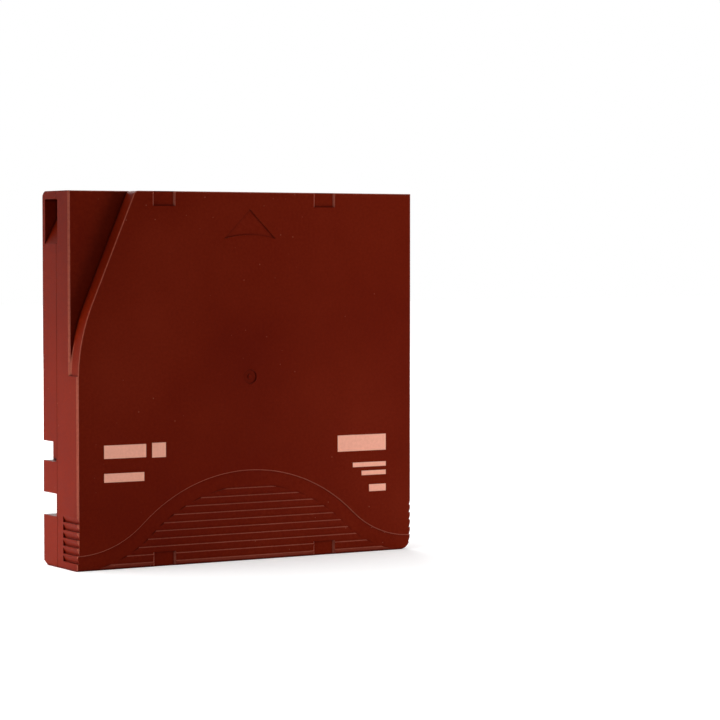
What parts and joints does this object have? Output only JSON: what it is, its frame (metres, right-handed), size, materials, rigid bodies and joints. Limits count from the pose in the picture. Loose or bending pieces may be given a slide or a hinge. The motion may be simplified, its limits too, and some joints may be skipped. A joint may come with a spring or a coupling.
{
  "type": "data tape cartridge",
  "caption": "Half-inch data tape cartridge: moulded two-part case with keyed corner and ribbed grip, braked tape reel, leader pin, sprung access door and write-protect switch.",
  "frame": {"origin": "centre of the rear end's footprint: midway across width and thickness, on the plane that the rear end rests on", "axes": "+X across the width to the side with the access door, +Y through the thickness from the top face to the bottom face with the hub opening, +Z along the length towards the end that enters the drive"},
  "size_m": [0.1054, 0.0216, 0.102],
  "materials": {
    "upper_shell": "moulded red-brown polycarbonate, finely textured",
    "lower_shell": "moulded red-brown polycarbonate, finely textured",
    "case_screws": "zinc-plated steel, cross recess",
    "reel_hub": "glass-filled natural white polycarbonate",
    "reel_upper_flange": "smooth moulded polycarbonate",
    "tape_pack": "wound metal-particle tape, dark brown-grey edge",
    "clutch_plate": "stamped stainless steel ring",
    "brake_plate": "acetal, off-white",
    "release_spider": "acetal, dark grey",
    "brake_spring": "coiled spring steel",
    "access_door": "moulded acetal in the case's colour",
    "door_spring": "coiled spring steel",
    "write_protect_switch": "moulded acetal, brighter red-orange",
    "memory_board": "green glass-epoxy board with a printed aerial",
    "memory_chip": "black encapsulated chip",
    "leader_pin": "turned stainless steel",
    "pin_clip": "black acetal sleeve",
    "leader_tape": "polyester leader tape",
    "pin_spring": "bent spring steel strip"
  },
  "bodies": {
    "case": {"upper_shell": "upper_shell", "lower_shell": "lower_shell", "case_screws": "case_screws", "leader_pin": "leader_pin", "pin_clip": "pin_clip", "pin_spring": "pin_spring", "leader_tape": "leader_tape", "memory_board": "memory_board", "memory_chip": "memory_chip", "brake_spring": "brake_spring", "door_spring": "door_spring"},
    "reel": {"reel_hub": "reel_hub", "reel_upper_flange": "reel_upper_flange", "tape_pack": "tape_pack", "clutch_plate": "clutch_plate"},
    "brake": {"brake_plate": "brake_plate"},
    "spider": {"release_spider": "release_spider"},
    "door": {"access_door": "access_door"},
    "switch": {"write_protect_switch": "write_protect_switch"}
  },
  "joints": [
    {"name": "reel_spin", "type": "hinge", "parent": "case", "child": "reel", "pos_m": [0, 0, 0.051], "axis": [0, 1, 0], "continuous": true},
    {"name": "brake_lift", "type": "slide", "parent": "case", "child": "brake", "axis": [0, -1, 0], "range_m": [0, 0.0015], "stiffness_N_per_m": 500, "springref_m": -0.01, "deforming": ["brake_spring"]},
    {"name": "spider_lift", "type": "slide", "parent": "reel", "child": "spider", "axis": [0, -1, 0], "range_m": [0, 0.0015]},
    {"name": "door_slide", "type": "slide", "parent": "case", "child": "door", "axis": [0, 0, -1], "range_m": [0, 0.016], "stiffness_N_per_m": 12, "springref_m": -0.01, "deforming": ["door_spring"]},
    {"name": "write_protect_slide", "type": "slide", "parent": "case", "child": "switch", "axis": [1, 0, 0], "range_m": [0, 0.004]}
  ],
  "couplings": [
    {"joint": "spider_lift", "follows": "brake_lift", "ratio": 1}
  ]
}
